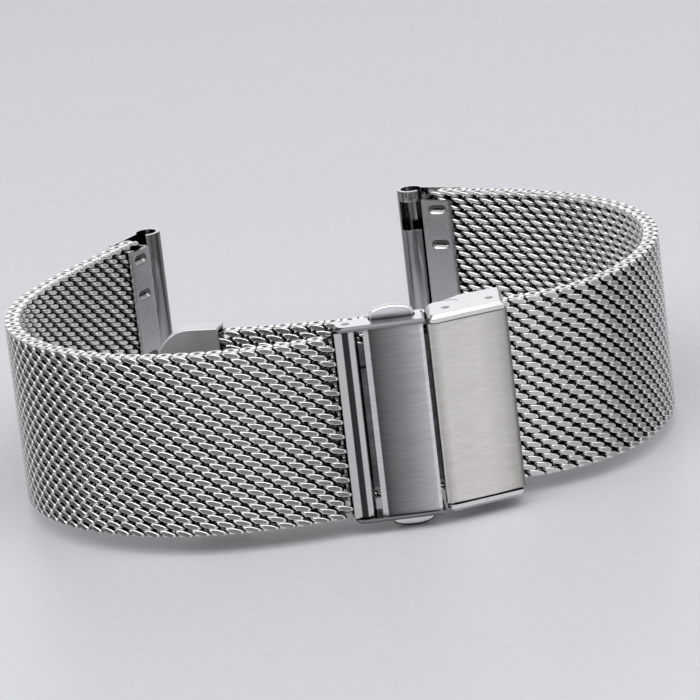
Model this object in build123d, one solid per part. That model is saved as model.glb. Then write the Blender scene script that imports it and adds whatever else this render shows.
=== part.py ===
from build123d import *
import math
import os

# A woven metal watch band standing on its edge as an open loop.
# X runs to the right, Y away from the clasp towards the wrist, Z along the width of the band.
# All lengths are in millimetres. Plan sizes are laid out about the middle of the band's width.

# Mesh
band_width = 20.0
mesh_half = 0.825
coil_spacing = 0.9
coil_groove = 0.24
coil_flat_share = 0.3
knuckle_gap = 0.05
# Columns of coil in each length of mesh, from the clasp to the lug
left_columns = [17, 18, 18, 18, 17]
right_columns = [16, 16, 15, 14, 13]
tail_columns = 38

# Clasp, across the band. The slider's cheeks stand clear of the mesh and set the clasp's width.
left_cheek = 0.5
right_cheek = 0.8
side_gap = 0.1
button_proud = 1.35

# Button block, seen from above with its barrel pin at the block's own zero
block_x = -0.21
block_y = 1.56
block_angle = 1.0
block_front = 1.56
block_left = 1.3
block_right = 8.35
block_rear_left = 1.4
block_rear_right = 2.45
block_round = 1.2
rim_bevel = 0.26
plate_inset = 0.28
plate_thick = 0.8
plate_left = 1.7
plate_end_gap = 0.25
plate_bevel_left = 0.6
plate_bevel_right = 0.36
plate_bevel_depth = 0.3

# Barrel on the end of the left strap and its crimp
barrel_radius = 1.1
barrel_pin_radius = 0.45
running_gap = 0.04
strap_offset = 0.25
crimp_lip = 0.2
crimp_reach = 0.5
crimp_room = 0.12
crimp_play = 0.03
crimp_half = 0.36
left_heading = 194.8

# Push buttons
button_left = 2.6
button_length = 4.7
button_side = 0.45
button_setback = 1.96
button_depth = 1.05
button_slot_gap = 0.12
button_flange = 0.5
button_flange_reach = 0.35
button_rim = 0.18
stem_length = 1.2
stem_depth = 0.5
stem_setback = 1.57
stem_gap = 0.21

# Folding link, folding leaf and their pins, from the barrel pin
leaf_axis_along = -0.2
leaf_axis_depth = 2.05
leaf_knuckle = 0.6
link_axis_along = 7.4
link_axis_depth = 1.0
link_knuckle = 0.5
fold_pin_radius = 0.28
fold_sheet = 0.38
link_inset = 1.1
leaf_inset = 2.0
leaf_top = 1.86
link_lift_left = 1.4
link_lift_right = 1.12
fold_gap = 0.12
lug_length = 1.6

# Catch ears on the leaf and the spring latch under the cover
ear_inset = 0.3
ear_thick = 0.5
ear_left = 3.6
ear_length = 2.6
ear_rise = 1.1
window_side = 0.35
window_top = 0.4
window_depth = 0.5
latch_sheet = 0.24
latch_gap = 0.46
latch_length = 1.6
latch_nose = 0.7
latch_nose_depth = 0.3

# Slider block, seen from above
slider_left = 8.45
slider_front = 0.35
slider_angle = 20.5
slider_length = 8.8
slider_front_round = 0.8
slider_round = 0.4
slider_rim = 0.36
cheek_depth_right = 5.8
cheek_depth_middle = 6.2
cheek_depth_step = 5.45
cheek_depth_left = 4.8
cheek_middle_share = 0.7
cheek_step_share = 0.49
cheek_left_share = 0.33
guide_pin_along = 3.08
guide_pin_depth = 2.29
lock_pin_inset = 0.66
lock_pin_depth = 2.327
cross_pin_radius = 0.45
guide_knuckle = 0.7
relief_radius = 2.75
relief_width = 0.16
relief_depth = 0.3
relief_start = 58.0
relief_sweep = 78.0
floor_gap = 0.15
floor_sheet = 0.5
floor_reach = 5.2

# Locking flap over the slider
flap_inset = 0.28
flap_thick = 0.85
flap_crown = 0.12
flap_left_gap = 0.25
flap_right_reach = 1.25
flap_edge = 0.4
flap_neck = 1.3
cam_lift = 0.1
cam_gap = 0.06

# Tail of the right strap and its folded tip
tail_radius = 76.0
tail_centre_x = 3.5
tail_front = 6.4
tail_start_x = -13.9
tip_length = 7.2
tip_wall = 0.36
tip_play = 0.05
tip_overlap = 0.9
tip_end_wall = 0.45
tip_corner = 4.2

# Bends of the two straps, each a length along the band and a radius
left_bends = [(14.0, 36.1), (16.0, 24.3), (16.0, 22.7), (12.0, 23.7), (10.0, 62.8), (4.4, 900.0)]
right_bends = [(12.0, 16.1), (14.0, 27.2), (16.0, 24.3), (16.0, 30.8), (14.0, 323.0), (4.4, 900.0)]

# End pieces that hold the spring bars
lug_sheet = 0.45
lug_radius = 1.6
lug_centre_out = 0.3
lug_wall_gap = 0.06
lug_slit = 0.45
lug_start_angle = 146.0
lug_end_angle = -148.0
outer_plate = 3.6
inner_plate = 3.7
plate_shorter = 1.0
plate_corner = 0.3
plate_play = 0.04
recess_length = 2.3
recess_height = 1.2
recess_sink = 0.3
recess_first = 1.1
recess_pitch = 4.2
notch_from = 1.25
notch_height = 3.4
notch_reach = 3.0
notch_wall = 0.65

# Sizes that follow from the ones above
cut_over = 1.0
button_front = button_setback - block_front
stem_front = stem_setback - block_front
mesh_top = band_width / 2
clasp_top = mesh_top + side_gap + right_cheek
leaf_half_width = mesh_top - leaf_inset
ear_inner = leaf_half_width - ear_inset - ear_thick
latch_arm = ear_inner - latch_gap - latch_sheet
link_half_width = latch_arm - link_inset
stem_end = latch_arm + latch_sheet + stem_gap
tip_height = band_width + 2 * (tip_play + tip_end_wall)
tail_centre_y = tail_front + tail_radius
os.makedirs("parts", exist_ok=True)


def slab(outline, low, high):
    return Pos(0, 0, low) * extrude(make_face(Polyline(*outline, close=True)), high - low)


def rod(x, y, radius, low, high):
    return Pos(x, y, (low + high) / 2) * Cylinder(radius, high - low)


def both_ends(shape):
    return [shape, shape.mirror(Plane.XY)]


# A route is a start point, a heading and bends. turn is 1 where it bends to the left, -1 to the right.
def walk(route, distance):
    x, y, heading, turn, bends = route
    for length, radius in bends:
        step = min(distance, length) if (length, radius) != bends[-1] else distance
        swing = turn * step / radius
        side = heading + turn * math.pi / 2
        cx, cy = x + radius * math.cos(side), y + radius * math.sin(side)
        heading += swing
        side += swing
        x, y = cx - radius * math.cos(side), cy - radius * math.sin(side)
        distance -= step
        if distance <= 0:
            break
    return x, y, heading


# A point at a distance along the route, moved out from the wrist. The inside of every bend faces the wrist.
def beside(route, distance, out):
    x, y, heading = walk(route, distance)
    turn = route[3]
    return x + turn * out * math.sin(heading), y - turn * out * math.cos(heading)


def frame_at(route, distance):
    x, y, heading = walk(route, distance)
    return Location((x, y, 0), (0, 0, math.degrees(heading)))


# One length of mesh: a column of coil every coil_spacing, each with a flat and a groove beside it.
# The column in the barrel's crimp is pressed thin.
def mesh_outline(route, first, last, start_cut, end_cut, crimped):
    outer, inner = [], []
    flat = coil_spacing * coil_flat_share
    valley = mesh_half - coil_groove
    for column in range(first, last + 1):
        middle = column * coil_spacing
        start = middle - coil_spacing / 2
        marks = [(start, valley), (middle - flat, mesh_half), (middle + flat, mesh_half)]
        if crimped and column == first:
            marks = [(start, crimp_half), (middle + flat, crimp_half)]
        for place, height in marks:
            if place >= start_cut and place <= end_cut:
                outer.append(beside(route, place, height))
                inner.append(beside(route, place, -height))
    outer.append(beside(route, end_cut, mesh_half if end_cut == last * coil_spacing else valley))
    inner.append(beside(route, end_cut, -mesh_half if end_cut == last * coil_spacing else -valley))
    return outer + inner[::-1]


# Mesh from one column to another. A hinged end is a round knuckle, and the next length starts in a hollow.
def mesh_length(route, first, last, hollow, knuckle, crimped=False):
    start = first * coil_spacing + (coil_spacing / 2 if hollow else -coil_spacing / 2)
    end = last * coil_spacing + (0 if knuckle else coil_spacing / 2)
    outline = mesh_outline(route, first, last, start, end, crimped)
    body = slab(outline, -mesh_top, mesh_top)
    if hollow:
        x, y, _ = walk(route, first * coil_spacing)
        body -= rod(x, y, mesh_half + knuckle_gap, -mesh_top - cut_over, mesh_top + cut_over)
    if knuckle:
        x, y, _ = walk(route, last * coil_spacing)
        body += rod(x, y, mesh_half, -mesh_top, mesh_top)
    return body


# The block's own sizes run along the band from the barrel pin and in towards the wrist
block_place = Location((block_x, block_y, 0), (0, 0, block_angle))
slider_place = Location((slider_left, slider_front, 0), (0, 0, slider_angle))


def in_block(along, depth):
    point = (block_place * Location((along, depth, 0))).position
    return point.X, point.Y


def in_slider(along, depth):
    point = (slider_place * Location((along, depth, 0))).position
    return point.X, point.Y


guide_pin_x, guide_pin_y = in_slider(guide_pin_along, guide_pin_depth)
lock_pin_along = slider_length - lock_pin_inset
lock_pin_x, lock_pin_y = in_slider(lock_pin_along, lock_pin_depth)


# Cheek of the button block with the slot for its button
def block_cheek():
    low, high = clasp_top - left_cheek, clasp_top
    outline = [(-block_left, -block_front), (block_right, -block_front), (block_right, block_rear_right),
               (-block_left, block_rear_left)]
    cheek = slab(outline, low, high)
    cheek = fillet(cheek.edges().filter_by(Axis.Z).sort_by(Axis.X)[:2], block_round)
    top = cheek.faces().sort_by(Axis.Z)[-1]
    cheek = chamfer(top.edges(), rim_bevel)
    slot_long = button_length + 2 * button_slot_gap
    slot_deep = button_depth + 2 * button_slot_gap
    slot = Pos(button_left + button_length / 2, button_front + button_depth / 2, (low + high) / 2)
    cheek -= slot * Box(slot_long, slot_deep, left_cheek + cut_over)
    cheek -= rod(0, 0, barrel_pin_radius, low - cut_over, high + cut_over)
    return block_place * cheek


# Brushed cover between the cheeks, with lugs for the folding link
def block_cover():
    half = clasp_top - left_cheek
    face = -block_front + plate_inset
    right = block_right - plate_end_gap
    outline = [(plate_left + plate_bevel_left, face), (right - plate_bevel_right, face),
               (right, face + plate_bevel_depth), (right, face + plate_thick),
               (plate_left, face + plate_thick), (plate_left, face + plate_bevel_depth)]
    cover = slab(outline, -half, half)
    under = face + plate_thick
    reach = link_half_width + fold_gap
    for side in (-1, 1):
        low, high = sorted((side * reach, side * (reach + lug_length)))
        lug = rod(link_axis_along, link_axis_depth, link_knuckle, low, high)
        web_left, web_right = link_axis_along - link_knuckle, link_axis_along + link_knuckle
        web = [(web_left, under), (web_right, under), (web_right, link_axis_depth),
               (web_left, link_axis_depth)]
        cover += lug + slab(web, low, high)
    reach += lug_length + cut_over
    cover -= rod(link_axis_along, link_axis_depth, fold_pin_radius, -reach, reach)
    return block_place * cover


# Barrel on the strap's end, bored for its pin, with two lips that grip the mesh
def strap_barrel():
    half = clasp_top - left_cheek - side_gap
    barrel = rod(0, 0, barrel_radius, -half, half)
    grip = crimp_half + crimp_play
    reach = barrel_radius + crimp_reach
    # The strap's centre line passes in front of the barrel's pin
    for side in (-1, 1):
        middle = side * (grip + crimp_lip / 2) - strap_offset
        barrel += Pos(-reach / 2, middle, 0) * Box(reach, crimp_lip, 2 * half)
    pocket = Box(2 * barrel_radius, 2 * grip, 2 * half + cut_over)
    barrel -= Pos(-barrel_radius * 2, -strap_offset, 0) * pocket
    barrel -= rod(0, 0, barrel_pin_radius + running_gap, -half - cut_over, half + cut_over)
    tilt = left_heading - math.degrees(math.pi)
    return Location((block_x, block_y, 0), (0, 0, tilt)) * barrel


# Push button: a half oval cap, a flange that stops it inside the cheek and a stem to the latch
def push_button():
    cheek_low = clasp_top - left_cheek
    middle = button_left + button_length / 2
    side, rise = left_cheek + button_side, button_proud - button_side
    cap_arc = EllipticalCenterArc((0, side), button_length / 2, rise, arc_size=math.degrees(math.pi))
    foot = Polyline((-button_length / 2, side), (-button_length / 2, 0), (button_length / 2, 0),
                    (button_length / 2, side))
    cap_face = make_face([cap_arc, foot])
    cap = extrude(Plane.XZ * cap_face, -button_depth)
    cap = chamfer(cap.edges().filter_by(GeomType.ELLIPSE), button_rim)
    cap = Pos(middle, button_front, cheek_low) * cap
    button_back = button_front + button_depth
    flange = Box(button_length + 2 * button_flange_reach, button_back - stem_front, button_flange)
    flange_low = cheek_low - side_gap / 2 - button_flange
    cap += Pos(middle, (stem_front + button_back) / 2, flange_low + button_flange / 2) * flange
    waist = Box(button_length, button_depth, side_gap)
    cap += Pos(middle, button_front + button_depth / 2, cheek_low) * waist
    stem = Box(stem_length, stem_depth, flange_low - stem_end)
    cap += Pos(middle, stem_front + stem_depth / 2, (flange_low + stem_end) / 2) * stem
    return block_place * cap


# Folding link from the leaf's end back to the cover's lugs
def fold_link():
    half = link_half_width
    outline = [(leaf_axis_along, link_lift_left), (link_axis_along, link_lift_right),
               (link_axis_along, link_lift_right + fold_sheet),
               (leaf_axis_along, link_lift_left + fold_sheet)]
    link = slab(outline, -half, half)
    link += rod(leaf_axis_along, leaf_axis_depth, leaf_knuckle, -half, half)
    link += rod(link_axis_along, link_axis_depth, link_knuckle, -half, half)
    for along, depth in ((leaf_axis_along, leaf_axis_depth), (link_axis_along, link_axis_depth)):
        link -= rod(along, depth, fold_pin_radius + running_gap, -half - cut_over, half + cut_over)
    return block_place * link


# Fixed leaf that reaches from the slider under the button block, with a catch ear on each side
def fold_leaf():
    half = leaf_half_width
    guide = (block_place.inverse() * Location((guide_pin_x, guide_pin_y, 0))).position
    outline = [(leaf_axis_along, leaf_top), (guide.X, leaf_top), (guide.X, leaf_top + fold_sheet),
               (leaf_axis_along, leaf_top + fold_sheet)]
    leaf = slab(outline, -half, half)
    room = leaf_knuckle + fold_gap
    gap_half = link_half_width + fold_gap
    leaf -= Pos(leaf_axis_along, leaf_axis_depth, 0) * Box(2 * room, 2 * room, 2 * gap_half)
    for side in (-1, 1):
        low, high = sorted((side * gap_half, side * half))
        leaf += rod(leaf_axis_along, leaf_axis_depth, leaf_knuckle, low, high)
        ear = Pos(ear_left + ear_length / 2, leaf_top - ear_rise / 2, side * (ear_inner + ear_thick / 2))
        leaf += ear * Box(ear_length, ear_rise, ear_thick)
        window = Pos(ear_left + ear_length / 2, leaf_top - ear_rise + window_top + window_depth / 2,
                     side * (ear_inner + ear_thick / 2))
        leaf -= window * Box(ear_length - 2 * window_side, window_depth, ear_thick + cut_over)
    leaf += rod(guide.X, guide.Y, guide_knuckle, -half, half)
    leaf -= rod(guide.X, guide.Y, cross_pin_radius, -half - cut_over, half + cut_over)
    leaf -= rod(leaf_axis_along, leaf_axis_depth, fold_pin_radius, -half - cut_over, half + cut_over)
    return block_place * leaf


# Two-armed spring latch: its back lies under the cover and a nose on each arm enters an ear's window
def spring_latch():
    under = -block_front + plate_inset + plate_thick
    middle = ear_left + ear_length / 2
    arm_outer = latch_arm + latch_sheet
    latch = Pos(middle, under + latch_sheet / 2, 0) * Box(latch_length, latch_sheet, 2 * arm_outer)
    window_low = leaf_top - ear_rise + window_top
    nose_low = window_low + (window_depth - latch_nose_depth) / 2
    foot = nose_low + latch_nose_depth
    for side in (-1, 1):
        arm = Box(latch_length, foot - under, latch_sheet)
        latch += Pos(middle, (foot + under) / 2, side * (latch_arm + latch_sheet / 2)) * arm
        nose = Box(latch_length, latch_nose_depth, latch_nose)
        latch += Pos(middle, foot - latch_nose_depth / 2, side * (arm_outer + latch_nose / 2)) * nose
    return block_place * latch


# Cheek of the slider, deep enough to carry the strap through it
def slider_cheek():
    low, high = clasp_top - right_cheek, clasp_top
    outline = [(0, 0), (slider_length, 0),
               (slider_length + slider_slant(cheek_depth_right), cheek_depth_right),
               (slider_length * cheek_middle_share, cheek_depth_middle),
               (slider_length * cheek_step_share, cheek_depth_step),
               (slider_length * cheek_left_share, cheek_depth_step),
               (slider_slant(cheek_depth_left), cheek_depth_left)]
    cheek = slab(outline, low, high)
    corners = cheek.edges().filter_by(Axis.Z).sort_by(Axis.Y)
    cheek = fillet(corners[2:], slider_round)
    front = cheek.edges().filter_by(Axis.Z).sort_by(Axis.Y)[:2].sort_by(Axis.X)
    cheek = fillet(front[0], slider_front_round)
    top = cheek.faces().sort_by(Axis.Z)[-1]
    cheek = chamfer(top.edges(), slider_rim)
    for along, depth in ((guide_pin_along, guide_pin_depth), (lock_pin_along, lock_pin_depth)):
        cheek -= rod(along, depth, cross_pin_radius, low - cut_over, high + cut_over)
    middle = (guide_pin_along, guide_pin_depth)
    relief = CenterArc(middle, relief_radius, relief_start - slider_angle, relief_sweep)
    cheek -= Pos(0, 0, high - relief_depth) * extrude(trace(relief, relief_width), relief_depth + cut_over)
    return slider_place * cheek


# The cheek's ends are cut straight towards the wrist, so they slant in the slider's own directions
def slider_slant(depth):
    return depth * math.tan(math.radians(slider_angle))


# Curved floor of the slider on the wrist side of the strap
def slider_floor():
    half = clasp_top - right_cheek
    outer = tail_radius - mesh_half - floor_gap
    inner = outer - floor_sheet
    ring = rod(tail_centre_x, tail_centre_y, outer, -half, half)
    ring -= rod(tail_centre_x, tail_centre_y, inner, -half - cut_over, half + cut_over)
    right_x, _ = in_slider(slider_length, 0)
    keep = Pos(right_x - floor_reach / 2, cheek_depth_right + slider_front, 0)
    return ring & (keep * Box(floor_reach, 2 * cheek_depth_right, 2 * half + cut_over))


# Brushed flap between the slider's cheeks, turning on the lock pin, with a cam that grips the strap
def lock_flap():
    half = clasp_top - right_cheek - side_gap
    left, right = flap_left_gap, lock_pin_along + flap_right_reach
    face = flap_inset
    crown = Polyline((left, face + flap_edge), (left + flap_edge, face))
    crest = ((left + right) / 2, face - flap_crown)
    arc = ThreePointArc((left + flap_edge, face), crest, (right - flap_edge, face))
    rest = Polyline((right - flap_edge, face), (right, face + flap_edge), (right, face + flap_thick),
                    (left, face + flap_thick), (left, face + flap_edge))
    flap = Pos(0, 0, -half) * extrude(make_face([crown, arc, rest]), 2 * half)
    neck_left, neck_right = lock_pin_along - flap_neck / 2, lock_pin_along + flap_neck / 2
    root = face + flap_thick / 2
    neck = [(neck_left, root), (neck_right, root), (neck_right, lock_pin_depth),
            (neck_left, lock_pin_depth)]
    flap += slab(neck, -half, half)
    flap = slider_place * flap
    strap_x, strap_y = tail_centre_x - lock_pin_x, tail_centre_y - lock_pin_y
    away = math.atan2(strap_y, strap_x)
    cam_x, cam_y = lock_pin_x + cam_lift * math.cos(away), lock_pin_y + cam_lift * math.sin(away)
    # The cam stops a hair short of the strap
    cam_radius = math.hypot(strap_x, strap_y) - tail_radius - mesh_half - cam_lift - cam_gap
    flap += rod(cam_x, cam_y, cam_radius, -half, half)
    bore = cross_pin_radius + running_gap
    return flap - rod(lock_pin_x, lock_pin_y, bore, -half - cut_over, half + cut_over)


def cross_pin(x, y, radius, half):
    return rod(x, y, radius, -half, half)


# Folded tip on the end of the tail: a curved case with rounded free corners
def tail_tip(route, start):
    wall = mesh_half + tip_play + tip_wall
    outer = tail_radius + wall
    inner = tail_radius - wall
    case = rod(tail_centre_x, tail_centre_y, outer, -tip_height / 2, tip_height / 2)
    case -= rod(tail_centre_x, tail_centre_y, inner, -tip_height, tip_height)
    window = frame_at(route, start - tip_length / 2)
    profile = Rectangle(tip_length, tip_height)
    profile = fillet(profile.vertices().sort_by(Axis.X)[:2], tip_corner)
    window *= Rotation(math.degrees(math.pi / 2), 0, 0)
    case &= window * extrude(profile, 2 * wall + 2 * tip_wall, both=True)
    pocket_outer = tail_radius + mesh_half + tip_play
    pocket = rod(tail_centre_x, tail_centre_y, pocket_outer, -mesh_top - tip_play, mesh_top + tip_play)
    pocket -= rod(tail_centre_x, tail_centre_y, tail_radius - mesh_half - tip_play, -tip_height, tip_height)
    mouth = frame_at(route, start) * Box(2 * (tip_overlap + tip_play), 2 * outer_plate, tip_height)
    return case - (pocket & mouth)


# Outer plate and curled tube of one end piece, laid out past the last column of mesh
def lug_tube(route, end, flip):
    half = mesh_top
    grip = mesh_half + plate_play
    middle = lug_wall_gap + lug_sheet + lug_slit - lug_radius * math.cos(math.radians(lug_end_angle))
    line = lug_radius - lug_sheet / 2
    curl = CenterArc((middle, lug_centre_out), line, lug_start_angle, lug_end_angle - lug_start_angle)
    ring = trace(curl, lug_sheet)
    join_x = middle + line * math.cos(math.radians(lug_start_angle))
    low, high = grip, grip + lug_sheet
    strip = [(-outer_plate, low), (join_x, low), (join_x, high), (-outer_plate, high)]
    plate = make_face(Polyline(*strip, close=True))
    tube = Pos(0, 0, -half) * extrude(ring + plate, 2 * half)
    notch_z = mesh_top - notch_from - notch_height / 2
    notch_middle = middle + lug_radius - notch_wall - notch_reach / 2
    notch = Pos(notch_middle, lug_centre_out - lug_radius / 2 - lug_sheet, flip * notch_z)
    tube -= notch * Box(notch_reach, lug_radius + lug_sheet, notch_height)
    return place_out(route, end, tube)


# Inner clamp plate with its turned end wall and four pressed recesses
def clamp_plate(route, end):
    half = mesh_top - plate_shorter
    grip = mesh_half + plate_play
    outline = [(-inner_plate, -grip - lug_sheet), (0, -grip - lug_sheet), (0, mesh_half),
               (-lug_sheet, mesh_half), (-lug_sheet, -grip), (-inner_plate, -grip)]
    plate = slab(outline, -half, half)
    plate = fillet(plate.edges().filter_by(Axis.Z).sort_by(Axis.Y)[:2], plate_corner)
    for side in (-1, 1):
        for step in range(2):
            height = side * (half - recess_first - step * recess_pitch)
            pill = extrude(SlotOverall(recess_length, recess_height), recess_sink, both=True)
            pill = Rotation(math.degrees(math.pi / 2), 0, 0) * pill
            plate -= Pos(-inner_plate / 2 - lug_sheet / 2, -grip - lug_sheet, height) * pill
    return place_out(route, end, plate)


# Local sizes run along the band and out from the wrist, which is to the right of a route that turns left
def place_out(route, end, shape):
    if route[3] > 0:
        shape = shape.mirror(Plane.XZ)
    return frame_at(route, end) * shape


nodes = {}
left_turn = math.radians(left_heading)
start_reach = barrel_radius + crimp_room + coil_spacing / 2
left_x = block_x + start_reach * math.cos(left_turn) - strap_offset * math.sin(left_turn)
left_y = block_y + start_reach * math.sin(left_turn) + strap_offset * math.cos(left_turn)
left_route = (left_x, left_y, left_turn, -1, left_bends)

tail_angle = math.asin((tail_start_x - tail_centre_x) / tail_radius)
tail_x = tail_start_x
tail_y = tail_centre_y - tail_radius * math.cos(tail_angle)
tail_length = tail_columns * coil_spacing
right_route = (tail_x, tail_y, tail_angle, 1, [(tail_length, tail_radius)] + right_bends)

first = 0
for number, count in enumerate(left_columns):
    last = first + count
    hinged = number < len(left_columns) - 1
    name = "mesh_left_%d" % (number + 1)
    nodes[name] = mesh_length(left_route, first, last, number > 0, hinged, number == 0)
    first = last
left_end = first * coil_spacing + coil_spacing / 2

nodes["mesh_tail"] = mesh_length(right_route, 0, tail_columns, False, True)
first = tail_columns
for number, count in enumerate(right_columns):
    last = first + count
    hinged = number < len(right_columns) - 1
    nodes["mesh_right_%d" % (number + 1)] = mesh_length(right_route, first, last, True, hinged)
    first = last
right_end = first * coil_spacing + coil_spacing / 2

nodes["tail_tip"] = tail_tip(right_route, tip_overlap - coil_spacing / 2)
nodes["strap_barrel"] = strap_barrel()
nodes["left_cheek_top"], nodes["left_cheek_bottom"] = both_ends(block_cheek())
nodes["left_cover_plate"] = block_cover()
nodes["top_button"], nodes["bottom_button"] = both_ends(push_button())
nodes["spring_latch"] = spring_latch()
nodes["fold_link"] = fold_link()
nodes["fold_leaf"] = fold_leaf()
nodes["slider_cheek_top"], nodes["slider_cheek_bottom"] = both_ends(slider_cheek())
nodes["slider_floor"] = slider_floor()
nodes["lock_flap"] = lock_flap()
nodes["barrel_pin"] = cross_pin(block_x, block_y, barrel_pin_radius, clasp_top)
nodes["guide_pin"] = cross_pin(guide_pin_x, guide_pin_y, cross_pin_radius, clasp_top)
nodes["lock_pin"] = cross_pin(lock_pin_x, lock_pin_y, cross_pin_radius, clasp_top)
leaf_x, leaf_y = in_block(leaf_axis_along, leaf_axis_depth)
link_x, link_y = in_block(link_axis_along, link_axis_depth)
nodes["leaf_hinge_pin"] = cross_pin(leaf_x, leaf_y, fold_pin_radius, leaf_half_width)
link_pin_half = link_half_width + fold_gap + lug_length
nodes["link_hinge_pin"] = cross_pin(link_x, link_y, fold_pin_radius, link_pin_half)
nodes["left_lug_tube"] = lug_tube(left_route, left_end, -1)
nodes["left_clamp_plate"] = clamp_plate(left_route, left_end + lug_wall_gap + lug_sheet)
nodes["right_lug_tube"] = lug_tube(right_route, right_end, 1)
nodes["right_clamp_plate"] = clamp_plate(right_route, right_end + lug_wall_gap + lug_sheet)

# The part's origin is the middle of its box on the ground
whole = Compound(list(nodes.values())).bounding_box()
home = Pos(-whole.center().X, -whole.center().Y, -whole.min.Z)
for name, shape in nodes.items():
    export_step(home * shape, os.path.join("parts", name + ".step"))
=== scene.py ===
import math
import bmesh
import bpy
import numpy as np
from mathutils import Matrix, Vector


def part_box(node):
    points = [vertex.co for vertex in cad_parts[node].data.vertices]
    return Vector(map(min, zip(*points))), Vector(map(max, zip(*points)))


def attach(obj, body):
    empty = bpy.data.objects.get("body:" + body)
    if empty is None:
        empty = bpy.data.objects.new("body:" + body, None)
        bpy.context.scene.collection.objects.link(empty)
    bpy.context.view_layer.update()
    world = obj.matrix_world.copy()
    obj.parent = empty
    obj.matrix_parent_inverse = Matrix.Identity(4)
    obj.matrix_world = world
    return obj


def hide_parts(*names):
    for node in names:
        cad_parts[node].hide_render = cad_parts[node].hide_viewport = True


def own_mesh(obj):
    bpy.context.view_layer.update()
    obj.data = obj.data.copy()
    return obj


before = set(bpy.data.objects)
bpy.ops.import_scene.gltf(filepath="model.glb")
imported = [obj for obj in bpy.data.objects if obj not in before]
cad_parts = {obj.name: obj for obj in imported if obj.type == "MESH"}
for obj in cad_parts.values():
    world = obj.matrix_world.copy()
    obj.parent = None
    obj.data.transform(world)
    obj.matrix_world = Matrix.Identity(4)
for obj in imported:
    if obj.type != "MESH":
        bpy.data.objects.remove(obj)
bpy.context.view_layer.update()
MM = 0.001
random = np.random.default_rng(7)

# Sizes of the band in millimetres, as in the CAD source
band_width = 20.0
mesh_half = 0.825
coil_spacing = 0.9
left_columns = [17, 18, 18, 18, 17]
right_columns = [16, 16, 15, 14, 13]
tail_columns = 38

# The loop's plan from above: headings in degrees, and bends as pairs of a length and its radius
block_x, block_y = -0.21, 1.56
barrel_radius, crimp_room, strap_offset = 1.1, 0.12, 0.25
left_heading = 194.8
left_bends = [(14.0, 36.1), (16.0, 24.3), (16.0, 22.7), (12.0, 23.7), (10.0, 62.8), (4.4, 900.0)]
tail_radius, tail_centre_x, tail_front, tail_start_x = 76.0, 3.5, 6.4, -13.9
right_bends = [(12.0, 16.1), (14.0, 27.2), (16.0, 24.3), (16.0, 30.8), (14.0, 323.0), (4.4, 900.0)]

# The CAD model stands with its middle over the origin, so the plan is shifted by this much
low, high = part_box("barrel_pin")
home = Vector(((low[0] + high[0]) / 2 - block_x * MM, (low[1] + high[1]) / 2 - block_y * MM,
               (low[2] + high[2]) / 2))

# Most values of a noise lie between these two
noise_low, noise_high = 0.3, 0.7
# Sockets of a node that mixes two colours
first_colour, second_colour, mixed_colour = 6, 7, 2


# Helpers that build the nodes of a material
def new_material(name, **values):
    material = bpy.data.materials.new(name)
    material.use_nodes = True
    shader = material.node_tree.nodes["Principled BSDF"]
    for key, value in values.items():
        shader.inputs[key.replace("_", " ")].default_value = value
    return material, material.node_tree, shader


def node(tree, kind, **values):
    made = tree.nodes.new(kind)
    for key, value in values.items():
        if key.startswith("in_"):
            made.inputs[key[3:].replace("_", " ")].default_value = value
        else:
            setattr(made, key, value)
    return made


def ramp(tree, source, low_at, high_at, low_value=0.0, high_value=1.0):
    made = node(tree, "ShaderNodeMapRange")
    made.inputs["From Min"].default_value = low_at
    made.inputs["From Max"].default_value = high_at
    made.inputs["To Min"].default_value = low_value
    made.inputs["To Max"].default_value = high_value
    tree.links.new(source, made.inputs["Value"])
    return made.outputs["Result"]


def coloured(tree, source, first, second, low_at=noise_low, high_at=noise_high):
    made = node(tree, "ShaderNodeValToRGB")
    made.color_ramp.elements[0].position = low_at
    made.color_ramp.elements[0].color = (*first, 1)
    made.color_ramp.elements[1].position = high_at
    made.color_ramp.elements[1].color = (*second, 1)
    tree.links.new(source, made.inputs["Fac"])
    return made.outputs["Color"]


def bands(tree, source, stops):
    """Tone along one direction: each stop is a place from 0 to 1 and how bright it is there"""
    made = node(tree, "ShaderNodeValToRGB")
    elements = made.color_ramp.elements
    elements[0].position, elements[1].position = stops[0][0], stops[-1][0]
    elements[0].color = (*[stops[0][1]] * 3, 1)
    elements[1].color = (*[stops[-1][1]] * 3, 1)
    for place, share in stops[1:-1]:
        elements.new(place).color = (*[share] * 3, 1)
    tree.links.new(source, made.inputs["Fac"])
    return made.outputs["Color"]


def times(tree, first, second):
    made = node(tree, "ShaderNodeMix", data_type="RGBA", blend_type="MULTIPLY", in_Factor=1.0)
    tree.links.new(first, made.inputs[first_colour])
    tree.links.new(second, made.inputs[second_colour])
    return made.outputs[mixed_colour]


def stretched(tree, scale=(1, 1, 1), turn=0.0):
    coordinates = node(tree, "ShaderNodeTexCoord")
    mapping = node(tree, "ShaderNodeMapping", in_Scale=scale, in_Rotation=(0, 0, turn))
    tree.links.new(coordinates.outputs["Object"], mapping.inputs["Vector"])
    return mapping.outputs["Vector"]


def noise(tree, vector, scale, detail=3.0, rough=0.5):
    made = node(tree, "ShaderNodeTexNoise", in_Scale=scale, in_Detail=detail, in_Roughness=rough)
    tree.links.new(vector, made.inputs["Vector"])
    return made.outputs["Fac"]


def bump(tree, shader, height, strength, distance):
    made = node(tree, "ShaderNodeBump", in_Strength=strength, in_Distance=distance)
    tree.links.new(height, made.inputs["Height"])
    tree.links.new(made.outputs["Normal"], shader.inputs["Normal"])


def facing(tree, axis):
    """The way a surface faces, from 0 to 1 along one of the part's own axes"""
    coordinates = node(tree, "ShaderNodeTexCoord")
    split = node(tree, "ShaderNodeSeparateXYZ")
    tree.links.new(coordinates.outputs["Normal"], split.inputs["Vector"])
    return ramp(tree, split.outputs[axis], -1.0, 1.0)


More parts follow.
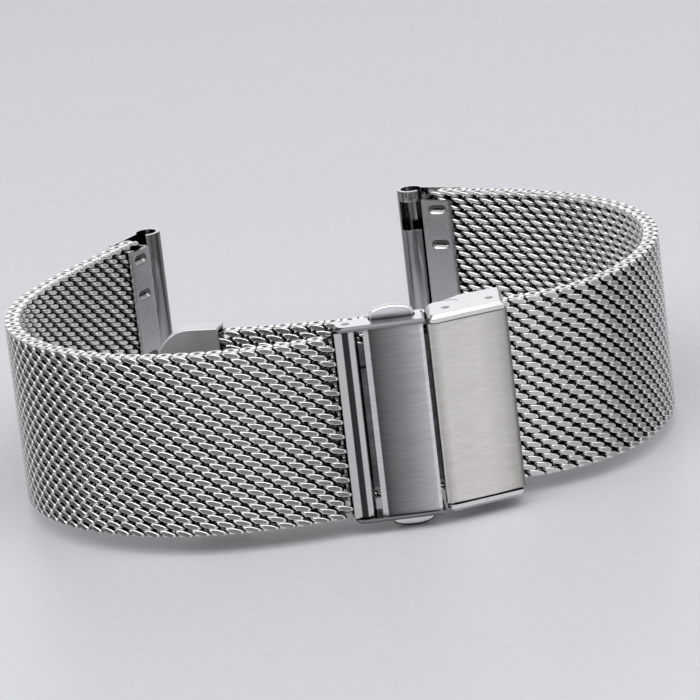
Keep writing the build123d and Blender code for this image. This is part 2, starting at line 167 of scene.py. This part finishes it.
def across_node(tree, name):
    """A place across a CAD node, from 0 at its left side to 1 at its right"""
    low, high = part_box(name)
    coordinates = node(tree, "ShaderNodeTexCoord")
    split = node(tree, "ShaderNodeSeparateXYZ")
    tree.links.new(coordinates.outputs["Object"], split.inputs["Vector"])
    return ramp(tree, split.outputs["X"], low[0], high[0])


# Painted shade: seams, slits and inner corners are darkened up to this far from what shades them, in metres
seam_reach, seam_samples = 0.0006, 8
# Tones of the painted seam shade by how open a surface is: at its deepest, and at a middle that lies this
# far before open_from
deepest_seam_shade, middle_seam_shade, seam_shade_fade = 0.05, 0.2, 0.35
# A surface this open is clear of the painted seam shade
usual_open = 0.85


def painted_seam_shade(tree, shade, open_from):
    # Painted shade: the base colour darkens where ambient occlusion finds nearby surfaces
    open_share = node(tree, "ShaderNodeAmbientOcclusion", samples=seam_samples, in_Distance=seam_reach)
    stops = [(0.0, deepest_seam_shade), (open_from - seam_shade_fade, middle_seam_shade), (open_from, 1.0)]
    return times(tree, shade, bands(tree, open_share.outputs["AO"], stops))


# Polished steel has faint clouds and a fine grain. Scales are per metre, and heights in metres
cloud_scale, cloud_detail, cloud_share = 420.0, 4.0, 0.95
fine_scale, fine_detail, fine_strength, fine_height = 5200.0, 2.0, 0.06, 0.00002


def polished(name, tone, rough, axis=None, stops=None, open_from=usual_open):
    """The stops, where given, are painted light and shade by the way that a surface faces along the axis"""
    material, tree, shader = new_material(name, Metallic=1.0)
    clouds = noise(tree, stretched(tree), cloud_scale, cloud_detail)
    fine = noise(tree, stretched(tree), fine_scale, fine_detail)
    shade = coloured(tree, clouds, [t * cloud_share for t in tone], tone)
    if stops:
        shade = times(tree, shade, bands(tree, facing(tree, axis), stops))
    tree.links.new(painted_seam_shade(tree, shade, open_from), shader.inputs["Base Color"])
    tree.links.new(ramp(tree, clouds, noise_low, noise_high, *rough), shader.inputs["Roughness"])
    bump(tree, shader, fine, fine_strength, fine_height)
    return material


# Brushed steel has fine lines along the band over broader ones
line_stretch, line_detail, line_rough = (420, 420, 7000), 5.0, 0.65
line_low, line_high, line_strength, line_height = 0.32, 0.66, 0.35, 0.00003
broad_stretch = (90, 90, 1500)


def brushed(name, tone, turn=0.0, rough=(0.26, 0.44), part=None, stops=None, dark_share=0.8):
    """The stops, where given, are painted light and shade across the CAD node. The turn is the lines' own,
    in degrees
    """
    material, tree, shader = new_material(name, Metallic=1.0)
    turn = math.radians(turn)
    lines = noise(tree, stretched(tree, line_stretch, turn), 1.0, line_detail, line_rough)
    broad = noise(tree, stretched(tree, broad_stretch, turn), 1.0)
    shade = coloured(tree, lines, [t * dark_share for t in tone], tone, line_low, line_high)
    if stops:
        shade = times(tree, shade, bands(tree, across_node(tree, part), stops))
    tree.links.new(painted_seam_shade(tree, shade, usual_open), shader.inputs["Base Color"])
    tree.links.new(ramp(tree, broad, noise_low, noise_high, *rough), shader.inputs["Roughness"])
    bump(tree, shader, lines, line_strength, line_height)
    return material


# Round wire has a painted highlight near its outer surface and painted shade, nearly black, in the crevices
# between coils
wire_gain, wire_limit, wire_dark_share = 2.6, 0.9, 0.08
crevice_from, crevice_to = 0.18, 0.6
# The attribute ground is 0 on round wire. On a facet it sets painted light and shade: a white painted
# highlight at bright_at, the wire's own tone at middle_at, and a dark painted shade at 1
facet_least, bright_at, middle_at, darkest_painted_facet = 0.01, 0.02, 0.5, 0.06
scratch_scale, scratch_detail, scratch_strength, scratch_height = 3400.0, 4.0, 0.12, 0.00002
wire_rough = (0.17, 0.33)


def woven(name, tone):
    material, tree, shader = new_material(name, Metallic=1.0)
    depth = node(tree, "ShaderNodeAttribute", attribute_name="crevice").outputs["Fac"]
    scratch = noise(tree, stretched(tree), scratch_scale, scratch_detail)
    # Painted highlight near the wire's surface, painted shade deep in the crevices
    bright = [min(t * wire_gain, wire_limit) for t in tone]
    dark = [t * wire_dark_share for t in tone]
    shade = coloured(tree, depth, bright, dark, crevice_from, crevice_to)
    facet = node(tree, "ShaderNodeAttribute", attribute_name="ground").outputs["Fac"]
    is_facet = node(tree, "ShaderNodeMath", operation="GREATER_THAN")
    is_facet.inputs[1].default_value = facet_least
    tree.links.new(facet, is_facet.inputs[0])
    mixed = node(tree, "ShaderNodeMix", data_type="RGBA")
    tree.links.new(is_facet.outputs["Value"], mixed.inputs["Factor"])
    tree.links.new(shade, mixed.inputs[first_colour])
    facet_shade = bands(tree, facet, [(bright_at, 1.0), (middle_at, tone[1]), (1.0, darkest_painted_facet)])
    tree.links.new(facet_shade, mixed.inputs[second_colour])
    tree.links.new(mixed.outputs[mixed_colour], shader.inputs["Base Color"])
    tree.links.new(ramp(tree, scratch, noise_low, noise_high, *wire_rough), shader.inputs["Roughness"])
    bump(tree, shader, scratch, scratch_strength, scratch_height)
    return material


# The tubes for the spring bars and their plates have painted reflections: dark stripes along both sides, by
# the way a surface faces along X
steel_mirror = polished("steel_polished", (0.6, 0.6, 0.615), (0.07, 0.15), "X",
                        [(0.0, 0.3), (0.14, 0.45), (0.3, 0.95), (0.5, 0.68), (0.62, 0.95), (0.8, 0.6),
                         (0.9, 0.3), (1.0, 0.25)])
# The slider's cheeks have painted light and shade: a little darker on top than on their bright sides, and
# the painted shade in their slits shows sooner
steel_case = polished("steel_bright", (0.86, 0.855, 0.86), (0.13, 0.22), "Z",
                      [(0.0, 0.66), (0.02, 0.66), (0.06, 0.7), (0.3, 1.0), (0.7, 1.0), (0.94, 0.7),
                       (0.98, 0.66), (1.0, 0.66)], 0.95)
# The block's cheeks have a painted highlight on top and painted shade on their bevel and sides
steel_rim = polished("steel_rimmed", (0.58, 0.58, 0.595), (0.13, 0.22), "Z",
                     [(0.0, 1.0), (0.02, 1.0), (0.06, 0.25), (0.5, 0.5), (0.9, 0.2), (0.97, 0.25),
                      (0.99, 1.0), (1.0, 1.0)])
# The buttons have painted light and shade: bright round their sides, less so on top, and darkest below
steel_button = polished("steel_button", (0.95, 0.94, 0.94), (0.22, 0.32), "Z",
                        [(0.0, 0.45), (0.3, 0.6), (0.45, 1.0), (0.6, 1.0), (0.75, 0.75), (1.0, 0.7)])
# The folded tip is satin, and its raised tone is painted light
steel_tip = polished("steel_tip", (0.88, 0.87, 0.88), (0.4, 0.5))
# The barrel has painted reflections: bright, with one dark stripe along its front and dark edges
steel_barrel = polished("steel_turned", (0.8, 0.8, 0.8), (0.08, 0.14), "X",
                        [(0.0, 0.2), (0.12, 0.7), (0.3, 0.85), (0.34, 0.05), (0.56, 0.06), (0.6, 0.85),
                         (0.84, 0.85), (0.88, 0.2), (0.93, 0.5), (0.98, 0.1)])
steel_fold = polished("steel_folded", (0.6, 0.585, 0.6), (0.24, 0.36))
# The block's cover has painted highlights on its bevels and a painted reflection that darkens towards its
# left
steel_cover = brushed("steel_brushed_dark", (0.88, 0.86, 0.88), part="left_cover_plate",
                      stops=[(0.0, 0.95), (0.085, 0.95), (0.1, 0.12), (0.3, 0.28), (0.55, 0.44),
                             (0.9, 0.78), (0.935, 0.85), (0.95, 1.0), (1.0, 1.0)])
# The flap is pale steel, brightened and warmed by a painted reflection, with painted light and shade across
# it: a bright line near its left edge and darker edges. Its lines follow its slant
steel_flap = brushed("steel_brushed_light", (0.97, 0.93, 0.89), -20.5, part="lock_flap",
                     stops=[(0.0, 0.5), (0.03, 0.9), (0.055, 0.7), (0.16, 0.98), (0.6, 1.0),
                            (0.82, 0.85), (0.94, 0.62), (0.98, 0.3)], dark_share=0.84)
# The recesses' walls have painted shade where they face down and a painted highlight where they face up
steel_slope = polished("steel_slope", (0.7, 0.69, 0.7), (0.2, 0.3), "Z",
                       [(0.0, 0.1), (0.44, 0.2), (0.5, 0.35), (0.56, 0.9), (1.0, 1.0)])
steel_inner = brushed("steel_inner", (0.28, 0.28, 0.29), rough=(0.3, 0.5))
steel_pin = polished("steel_pin", (0.2, 0.2, 0.205), (0.2, 0.3))
steel_wire = woven("steel_wire", (0.34, 0.335, 0.33))

# Corners closer than this, in metres, are one corner
weld_distance = 1e-6
# Faces closer to flat than the first angle are joined, and edges sharper than the second are rounded
flat_angle, edge_angle, edge_steps = 0.6, 28.0, 3


def dress(name, material, width):
    """Give a CAD node its material, and round its edges by a width in millimetres"""
    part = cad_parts[name]
    part.data.materials.clear()
    part.data.materials.append(material)
    weld = part.modifiers.new("weld", "WELD")
    weld.merge_threshold = weld_distance
    flat = part.modifiers.new("flat", "DECIMATE")
    flat.decimate_type = "DISSOLVE"
    flat.angle_limit = math.radians(flat_angle)
    edge = part.modifiers.new("edge", "BEVEL")
    edge.width = width * MM
    edge.segments = edge_steps
    edge.limit_method = "ANGLE"
    edge.angle_limit = math.radians(edge_angle)
    edge.use_clamp_overlap = True
    even = part.modifiers.new("even", "WEIGHTED_NORMAL")
    even.keep_sharp = False
    for face in part.data.polygons:
        face.use_smooth = True


# Which steel each CAD node gets, and how far its edges are rounded, in millimetres
finishes = [
    (steel_rim, 0.06, ["left_cheek_top", "left_cheek_bottom"]),
    (steel_case, 0.1, ["slider_cheek_top", "slider_cheek_bottom"]),
    (steel_button, 0.08, ["top_button", "bottom_button"]),
    (steel_cover, 0.07, ["left_cover_plate"]),
    (steel_flap, 0.08, ["lock_flap"]),
    (steel_barrel, 0.05, ["strap_barrel"]),
    (steel_tip, 0.16, ["tail_tip"]),
    (steel_mirror, 0.08, ["left_lug_tube", "right_lug_tube"]),
    (steel_fold, 0.06, ["left_clamp_plate", "right_clamp_plate"]),
    (steel_inner, 0.05, ["fold_leaf", "fold_link", "slider_floor"]),
    (steel_pin, 0.05, ["barrel_pin", "guide_pin", "lock_pin", "leaf_hinge_pin", "link_hinge_pin"]),
]
for steel, width, names in finishes:
    for name in names:
        dress(name, steel, width)


def linked(name, mesh, steel):
    """An object of the scene from a mesh and its steel"""
    mesh.materials.clear()
    mesh.materials.append(steel)
    piece = bpy.data.objects.new(name, mesh)
    bpy.context.scene.collection.objects.link(piece)
    return piece


def latch_half(name, side):
    low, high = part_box("spring_latch")
    middle = (Vector(low) + Vector(high)) / 2
    work = bmesh.new()
    work.from_mesh(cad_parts["spring_latch"].data)
    bmesh.ops.remove_doubles(work, verts=work.verts, dist=weld_distance)
    cut = bmesh.ops.bisect_plane(work, geom=work.verts[:] + work.edges[:] + work.faces[:], plane_co=middle,
                                 plane_no=(0, 0, side), clear_inner=True)
    rim = [item for item in cut["geom_cut"] if isinstance(item, bmesh.types.BMEdge)]
    bmesh.ops.edgenet_fill(work, edges=rim)
    bmesh.ops.recalc_face_normals(work, faces=work.faces)
    mesh = bpy.data.meshes.new(name)
    work.to_mesh(mesh)
    work.free()
    piece = linked(name, mesh, steel_inner)
    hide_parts("spring_latch")
    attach(piece, "button_block")
    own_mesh(piece)


latch_half("latch_upper_arm", 1)
latch_half("latch_lower_arm", -1)


# The loop's plan as routes: a start, a heading, which way it turns, and its bends
def walk(route, distance):
    """Place and heading on a route, this far from its start. The last bend has no end"""
    x, y, heading, turn, bends = route
    for length, radius in bends:
        step = min(distance, length) if (length, radius) != bends[-1] else distance
        swing = turn * step / radius
        side = heading + turn * math.pi / 2
        cx, cy = x + radius * math.cos(side), y + radius * math.sin(side)
        heading += swing
        side += swing
        x, y = cx - radius * math.cos(side), cy - radius * math.sin(side)
        distance -= step
        if distance <= 0:
            break
    return x, y, heading


def axes(heading, turn):
    """The band's own directions at a heading: along it, and out from the wrist"""
    along = np.array([math.cos(heading), math.sin(heading), 0])
    out = np.array([turn * math.sin(heading), -turn * math.cos(heading), 0])
    return along, out


left_turn = math.radians(left_heading)
start_reach = barrel_radius + crimp_room + coil_spacing / 2
left_route = (block_x + start_reach * math.cos(left_turn) - strap_offset * math.sin(left_turn),
              block_y + start_reach * math.sin(left_turn) + strap_offset * math.cos(left_turn),
              left_turn, -1, left_bends)
tail_centre_y = tail_front + tail_radius
tail_angle = math.asin((tail_start_x - tail_centre_x) / tail_radius)
right_route = (tail_start_x, tail_centre_y - tail_radius * math.cos(tail_angle), tail_angle, 1,
               [(tail_columns * coil_spacing, tail_radius)] + right_bends)

# Woven mesh. A coil is flattened round wire that runs across the band, in millimetres
wire_radius = 0.315
coil_pitch = 1.61
coil_reach = 0.9
outer_rise, wrist_rise = 0.665, 0.555
squareness = 0.9
# Angles of the stops on a quarter turn, first on round wire and then from where the ground facet begins
round_stops, facet_stops = [0.0, 0.2, 0.47], [0.0, 0.12, 0.28]
# Around the wire a facet takes this share of its cut, with a soft edge that ends this turn beyond the cut
edge_share, edge_turn = 0.74, 0.2
# Half the span of the narrowest cut, and of the same stretch on round wire, in radians
narrowest_cut, plain_span = 0.1, 0.3
# A coil stays this far inside the band's edges
edge_room = 0.02
# Painted shade in the crevices darkens sooner on the wrist side, but not as deep, and its facets get a
# painted highlight
wrist_gloom, wrist_depth_limit, wrist_facet_shading = 3.0, 0.52, 0.02


def half_turn(rise):
    """Angles along one half turn of wire, from one side of the coil to the other"""
    cut = math.asin(((mesh_half - wire_radius) / rise) ** (1 / squareness))
    quarter = round_stops + [cut + stop for stop in facet_stops]
    return quarter + [math.pi / 2] + [math.pi - angle for angle in quarter[:0:-1]]


def coil_line(shift, first_turn, last_turn):
    """The middle of a coil's wire, as points (along, out, up)"""
    angles = []
    for half in range(first_turn, last_turn):
        angles += [half * math.pi + angle for angle in half_turn(wrist_rise if half % 2 else outer_rise)]
    angles = np.array(angles + [last_turn * math.pi])
    across, proud = np.cos(angles), np.sin(angles)
    rise = np.where(proud > 0, outer_rise, wrist_rise)
    return np.stack([coil_reach * np.sign(across) * np.abs(across) ** squareness,
                     rise * np.sign(proud) * np.abs(proud) ** squareness,
                     coil_pitch * angles / (2 * math.pi) + shift], 1)


def ring_turns(height, tilt):
    """Angles round the wire at one height of its middle, and if it is ground outside and at the wrist"""
    spans = []
    for sign in (1, -1):
        share = (mesh_half - sign * height) / (wire_radius * tilt)
        spans.append((max(math.acos(share), narrowest_cut) if share < 1 else plain_span, share < 1))
    (front, front_cut), (back, back_cut) = spans
    half_ring = [edge_share * front, front + edge_turn, math.pi / 2 + (front - back) / 2,
                 math.pi - back - edge_turn, math.pi - edge_share * back]
    turns = [-half_ring[0]] + half_ring + [2 * math.pi - angle for angle in half_ring[:0:-1]]
    return turns, front_cut, back_cut


def coil(shift, first_turn, last_turn):
    """Points of one coil as (along, out, up), its faces, which of them are facets, end faces, and crevice
    depths for the painted shade.

    A facet is 1 on the outside and -1 on the wrist side, and round wire is 0.
    """
    centre = coil_line(shift, first_turn, last_turn)
    along = np.gradient(centre, axis=0)
    along /= np.linalg.norm(along, axis=1)[:, None]
    out = np.array([0, 1.0, 0]) - along * along[:, 1:2]
    out /= np.linalg.norm(out, axis=1)[:, None]
    side = np.cross(along, out)
    points, cuts = [], []
    for middle, outward, sideways in zip(centre, out, side):
        turns, front_cut, back_cut = ring_turns(middle[1], outward[1])
        points.append([middle + wire_radius * (math.cos(turn) * outward + math.sin(turn) * sideways)
                       for turn in turns])
        cuts.append((front_cut, back_cut))
    points = np.array(points)
    points[..., 1] = np.clip(points[..., 1], -mesh_half, mesh_half)
    limit = band_width / 2 - edge_room
    points[..., 2] = np.clip(points[..., 2], -limit, limit)
    count, sides = points.shape[:2]
    faces, facets = [], []
    for ring in range(count - 1):
        for place in range(sides):
            here, beside = ring * sides + place, ring * sides + (place + 1) % sides
            faces.append((here, beside, beside + sides, here + sides))
            outer = place == 0 and cuts[ring][0] and cuts[ring + 1][0]
            wrist = place == sides // 2 and cuts[ring][1] and cuts[ring + 1][1]
            facets.append(1 if outer else -1 if wrist else 0)
    ends = [tuple(range(sides - 1, -1, -1)), tuple((count - 1) * sides + place for place in range(sides))]
    # Crevice depths for the painted shade, which darkens sooner on the wrist side
    depth = 1 - np.abs(points[..., 1]) / mesh_half
    depth = np.where(points[..., 1] < 0, np.minimum(depth * wrist_gloom, wrist_depth_limit), depth)
    return points.reshape(-1, 3), faces, facets, ends, depth.reshape(-1)


# Neighbouring coils are half a turn apart. Both start and end in the band's edges.
half_turns = 2 * int(band_width / 2 / coil_pitch)
coils = [coil(-coil_pitch / 4, -half_turns, half_turns + 1),
         coil(coil_pitch / 4, -half_turns - 1, half_turns)]

# The end turn of every second coil is pressed to a flat lozenge with a pit in it, in millimetres
cap_long, cap_deep, cap_high = 0.89, 0.79, 0.42
cap_sides, cap_squareness = 24, 0.8
# Each level is a drop as a share of the lozenge's height, and a size as a share of its outline
cap_levels = [(1.0, 0.86), (0.72, 0.97), (0.25, 1.0), (0.07, 0.95), (0.0, 0.86), (0.0, 0.3), (0.26, 0.21)]


def end_cap(side):
    """Lozenge at an edge of the band: points (along, out, up), faces, which are flat, and crevice depths
    for the painted shade
    """
    points, faces = [], []
    for drop, share in cap_levels:
        for place in range(cap_sides):
            angle = 2 * math.pi * place / cap_sides
            x = math.copysign(abs(math.cos(angle)) ** cap_squareness, math.cos(angle)) * cap_long * share
            y = math.copysign(abs(math.sin(angle)) ** cap_squareness, math.sin(angle)) * cap_deep * share
            points.append((x, y, side * (band_width / 2 - drop * cap_high)))
    for level in range(len(cap_levels) - 1):
        for place in range(cap_sides):
            here, beside = level * cap_sides + place, level * cap_sides + (place + 1) % cap_sides
            faces.append((here, beside, beside + cap_sides, here + cap_sides))
    flat = [False] * len(faces) + [True, True]
    pit_start = len(points) - cap_sides
    faces += [tuple(pit_start + place for place in range(cap_sides)), tuple(range(cap_sides - 1, -1, -1))]
    if side < 0:
        faces = [face[::-1] for face in faces]
    # Painted shade in the pit
    depth = np.where(np.arange(len(points)) >= pit_start, 1.0, 0.0)
    return np.array(points), faces, flat, depth


end_caps = [end_cap(side) for side in (-1, 1)]

# Towards the loop's ends the painted crevice shade darkens sooner and the facets get more painted shade
side_gloom, side_facet_shading = 1.2, 0.5
# Coils lie unevenly: a play in their heading, in radians, and in their height, in millimetres
heading_play, height_play, height_fade = 0.004, 0.012, 8


def weave(name, body, cad_node, route, columns, lay, facet_shading, gloom):
    """Coils along a stretch of the band, with how much painted shade its outer facets and its crevices get
    """
    all_points, all_faces, all_flat, all_ground, all_depth = [], [], [], [], []

    def add(points, faces, flip, flat, ground, depth):
        start = sum(len(earlier) for earlier in all_points)
        for face in faces:
            face = tuple(start + corner for corner in face)
            all_faces.append(face[::-1] if flip else face)
        all_points.append(points)
        all_flat.extend(flat)
        all_ground.extend(ground)
        all_depth.append(depth)

    turn = route[3]
    for column in columns:
        points, faces, facets, ends, depth = coils[column % 2]
        points = points.copy()
        points[:, 2] *= lay
        x, y, heading = walk(route, column * coil_spacing)
        heading += random.normal(0, heading_play)
        along, out = axes(heading, turn)
        lift = random.normal(0, height_play)
        placed = np.array([x, y, 0]) + points[:, :1] * along + points[:, 1:2] * out
        placed[:, 2] = points[:, 2] + lift * (1 - (points[:, 2] / (band_width / 2)) ** height_fade)
        facet_shading_here = facet_shading + side_facet_shading * abs(out[0])
        # The two ones are the coil's end faces, which are flat and get the darkest painted facet shade
        ground = [facet_shading_here if facet > 0 else wrist_facet_shading if facet < 0 else 0 for facet in facets] + [1, 1]
        # Painted crevice shade on the outer side, darker towards the loop's ends
        depth = depth * np.where(points[:, 1] > 0, gloom + side_gloom * abs(out[0]), 1)
        add(placed, faces + ends, lay * turn > 0, facets + [1, 1], ground, depth)
        if column % 2 == 0:
            for cap, faces, flat, depth in end_caps:
                placed = np.array([x, y, 0]) + cap[:, :1] * along + cap[:, 1:2] * out
                placed[:, 2] = cap[:, 2]
                add(placed, faces, turn > 0, flat, [0] * len(faces), depth)
    mesh = bpy.data.meshes.new(name)
    verts = np.concatenate(all_points) * MM + np.array(home)
    mesh.from_pydata(verts.tolist(), [], all_faces)
    mesh.polygons.foreach_set("use_smooth", [not flat for flat in all_flat])
    crevice = mesh.attributes.new("crevice", "FLOAT", "POINT")
    crevice.data.foreach_set("value", np.concatenate(all_depth))
    ground = mesh.attributes.new("ground", "FLOAT", "FACE")
    ground.data.foreach_set("value", [float(value) for value in all_ground])
    mesh.validate()
    piece = linked(name, mesh, steel_wire)
    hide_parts(cad_node)
    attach(piece, body)


def weave_strap(side, route, first, counts, lay, facet_shading, gloom):
    """The lengths of one strap, from a column on. The clamp plates take the place of the last coil"""
    for number, count in enumerate(counts, 1):
        last = first + count
        stop = last + 1 if number < len(counts) else last
        weave("weave_%s_%d" % (side, number), "%s_strap_%d" % (side, number),
              "mesh_%s_%d" % (side, number), route, range(first + 1, stop), lay, facet_shading, gloom)
        first = last


# The left strap's coils lean the other way, its facets get more painted shade, and its crevices get less
# painted shade
left_lay, left_facet_shading, left_gloom = -1, 0.5, 1.15
right_lay, right_facet_shading, right_gloom = 1, 0.15, 1.3
weave_strap("left", left_route, 0, left_columns, left_lay, left_facet_shading, left_gloom)
weave("weave_tail", "tail", "mesh_tail", right_route, range(1, tail_columns + 1), right_lay, right_facet_shading,
      right_gloom)
weave_strap("right", right_route, tail_columns, right_columns, right_lay, right_facet_shading, right_gloom)

# Sloped walls and dished floors for the pressed recesses of the clamp plates, in millimetres
lug_sheet, lug_wall_gap, plate_play = 0.45, 0.06, 0.04
inner_plate, plate_shorter = 3.7, 1.0
recess_length, recess_height = 2.3, 1.2
recess_first, recess_pitch, recess_pairs = 1.1, 4.2, 2
# Distance in from the recess's edge and depth. The last point is the wall's back, under the first
slope_profile = [(0.0, 0.0), (0.08, 0.06), (0.24, 0.2), (0.38, 0.26), (0.58, 0.285), (0.0, 0.297)]
slope_steps = 14


def recess_slopes(name, body, route, end):
    x, y, heading = walk(route, end)
    turn = route[3]
    along, out = axes(heading, turn)
    face_out = -(mesh_half + plate_play + lug_sheet)
    centre = np.array([x, y, 0]) - along * (inner_plate + lug_sheet) / 2 + out * face_out
    outer = recess_height / 2
    straight = recess_length / 2 - outer
    heights = [side * (band_width / 2 - plate_shorter - recess_first - step * recess_pitch)
               for side in (-1, 1) for step in range(recess_pairs)]
    angles = [math.pi * step / slope_steps - math.pi / 2 for step in range(slope_steps + 1)]
    angles += [angle + math.pi for angle in angles]
    rows, wide = len(angles), len(slope_profile)
    verts, faces = [], []
    for height in heights:
        start = len(verts)
        for step, angle in enumerate(angles):
            shift = straight if step <= slope_steps else -straight
            for inset, depth in slope_profile:
                radius = outer - inset
                spot = centre + along * (shift + radius * math.cos(angle)) + out * depth
                verts.append((spot[0], spot[1], height + radius * math.sin(angle)))
        for row in range(rows):
            this_row, next_row = start + row * wide, start + (row + 1) % rows * wide
            for place in range(wide):
                after = (place + 1) % wide
                face = (this_row + place, this_row + after, next_row + after, next_row + place)
                faces.append(face if turn > 0 else face[:1] + face[:0:-1])
    mesh = bpy.data.meshes.new(name)
    mesh.from_pydata((np.array(verts) * MM + np.array(home)).tolist(), [], faces)
    mesh.polygons.foreach_set("use_smooth", [True] * len(faces))
    piece = linked(name, mesh, steel_slope)
    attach(piece, body)


end_step = coil_spacing / 2 + lug_wall_gap + lug_sheet
recess_slopes("left_recess_slopes", "left_strap_5", left_route, sum(left_columns) * coil_spacing + end_step)
recess_slopes("right_recess_slopes", "right_strap_5", right_route,
              (tail_columns + sum(right_columns)) * coil_spacing + end_step)

# Floor. The band leans back from its lower button until its two ends touch, so the floor leans instead
low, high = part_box("bottom_button")
foot = Vector(((low[0] + high[0]) / 2, (low[1] + high[1]) / 2, low[2]))
end_low, end_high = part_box("right_lug_tube")
lean = math.atan2(end_low[2] - foot[2], end_high[1] - foot[1])
floor_size, floor_grain = 3, 900.0
paper_dark, paper_light = (0.70, 0.71, 0.73), (0.73, 0.74, 0.76)
bpy.ops.mesh.primitive_plane_add(size=floor_size, location=foot, rotation=(lean, 0, 0))
floor = bpy.context.active_object
floor.name = "floor"
material, tree, shader = new_material("floor_paper", Roughness=0.42)
grain = noise(tree, stretched(tree), floor_grain)
tree.links.new(coloured(tree, grain, paper_dark, paper_light), shader.inputs["Base Color"])
floor.data.materials.append(material)


# Light. Places, aims and sizes are in metres, and powers in watts
def softbox(name, place, aim, size, power):
    data = bpy.data.lights.new(name, "AREA")
    data.shape = "RECTANGLE"
    data.size, data.size_y = size
    data.energy = power
    lamp = bpy.data.objects.new(name, data)
    lamp.location = place
    lamp.rotation_euler = (Vector(aim) - Vector(place)).to_track_quat("-Z", "Y").to_euler()
    lamp.visible_camera = False
    bpy.context.scene.collection.objects.link(lamp)


softbox("top_box", (0.0, -0.28, 0.48), (0, 0, 0), (0.9, 0.4), 2.4)
softbox("back_box", (0.0, 0.85, 0.26), (0, 0, 0.01), (1.1, 0.3), 0.8)
softbox("left_box", (-0.55, -0.2, 0.22), (0, 0, 0.01), (0.12, 0.35), 0.35)
softbox("right_box", (0.55, -0.15, 0.25), (0, 0, 0.01), (0.12, 0.35), 0.35)

# A pale room, brighter behind the object than in front of it, and even overhead
front_wall, back_wall, ceiling = (0.24, 0.24, 0.26), (0.74, 0.75, 0.79), (0.50, 0.50, 0.51, 1)
wall_from, wall_to = -0.5, 0.9
ceiling_from, ceiling_to = 0.25, 0.85
room_strength = 0.8
world = bpy.data.worlds.new("studio")
bpy.context.scene.world = world
world.use_nodes = True
tree = world.node_tree
coordinates = node(tree, "ShaderNodeTexCoord")
split = node(tree, "ShaderNodeSeparateXYZ")
tree.links.new(coordinates.outputs["Generated"], split.inputs["Vector"])
backward = ramp(tree, split.outputs["Y"], wall_from, wall_to)
walls = coloured(tree, backward, front_wall, back_wall, 0.0, 1.0)
upward = ramp(tree, split.outputs["Z"], ceiling_from, ceiling_to)
room = node(tree, "ShaderNodeMix", data_type="RGBA")
tree.links.new(upward, room.inputs["Factor"])
tree.links.new(walls, room.inputs[first_colour])
room.inputs[second_colour].default_value = ceiling
background = tree.nodes["Background"]
tree.links.new(room.outputs[mixed_colour], background.inputs["Color"])
background.inputs["Strength"].default_value = room_strength

# Camera at the photograph's angle, placed from the loop's own origin, in millimetres
camera_place = Vector((0, -513.66, 156.44))
elevation, roll = math.radians(16.07), math.radians(-6.65)
focal_pixels, photo_pixels, sensor_width = 5082.7, 700, 36.0
nearest, farthest = 0.01, 20
forward = Vector((0, math.cos(elevation), -math.sin(elevation)))
level = Vector((0, math.sin(elevation), math.cos(elevation)))
across = math.cos(roll) * Vector((1, 0, 0)) + math.sin(roll) * level
upward = -math.sin(roll) * Vector((1, 0, 0)) + math.cos(roll) * level
data = bpy.data.cameras.new("camera")
data.sensor_width = sensor_width
data.lens = focal_pixels / photo_pixels * sensor_width
data.clip_start = nearest
data.clip_end = farthest
camera = bpy.data.objects.new("camera", data)
view = Matrix((across, upward, -forward)).transposed().to_4x4()
view.translation = home + camera_place * MM
camera.matrix_world = view
bpy.context.scene.collection.objects.link(camera)
bpy.context.scene.camera = camera

bpy.context.scene.view_settings.view_transform = "Standard"
